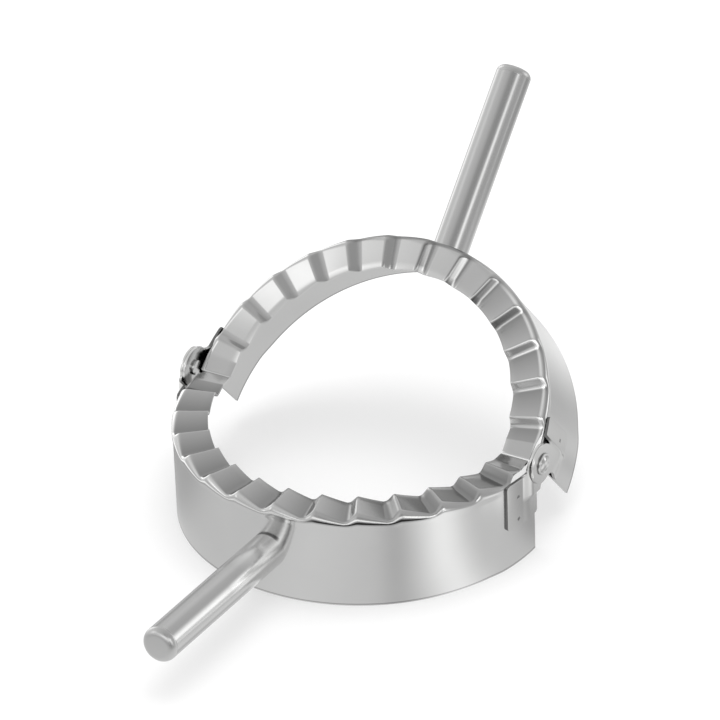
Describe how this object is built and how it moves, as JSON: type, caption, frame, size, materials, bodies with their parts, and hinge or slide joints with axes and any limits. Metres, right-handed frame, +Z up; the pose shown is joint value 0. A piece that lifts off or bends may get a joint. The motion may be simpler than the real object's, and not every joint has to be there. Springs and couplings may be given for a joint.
{
  "type": "ravioli mold",
  "caption": "Hinged pasta mold of polished steel: two half rings with saw-tooth crimping flanges and tubular handles, the rear half raised.",
  "frame": {"origin": "bottom centre of the whole mold's box, on the table that the front half stands on", "axes": "+Y from the front handle towards the rear handle, +X along the hinge axis to the right, +Z up"},
  "size_m": [0.1288, 0.229, 0.1073],
  "materials": {
    "polished_sheet": "polished",
    "leaf_steel": "bright rolled",
    "handle_steel": "polished",
    "rivet_steel": "bright",
    "turned_steel": "turned",
    "screw_steel": "plain"
  },
  "bodies": {
    "front_half": {"front_shell": "polished_sheet", "front_outer_leaf": "leaf_steel", "front_inner_leaf": "leaf_steel", "front_handle_tube": "handle_steel", "front_handle_cap": "handle_steel", "front_handle_bush": "turned_steel", "front_handle_screw": "screw_steel", "right_rivet": "rivet_steel", "left_rivet": "rivet_steel"},
    "rear_half": {"rear_shell": "polished_sheet", "rear_outer_leaf": "leaf_steel", "rear_inner_leaf": "leaf_steel", "rear_handle_tube": "handle_steel", "rear_handle_cap": "handle_steel", "rear_handle_bush": "turned_steel", "rear_handle_screw": "screw_steel"}
  },
  "joints": [
    {"name": "fold_hinge", "type": "hinge", "parent": "front_half", "child": "rear_half", "pos_m": [0, 0.0098, 0.0314], "axis": [1, 0, 0], "range_deg": [-41, 139]}
  ]
}
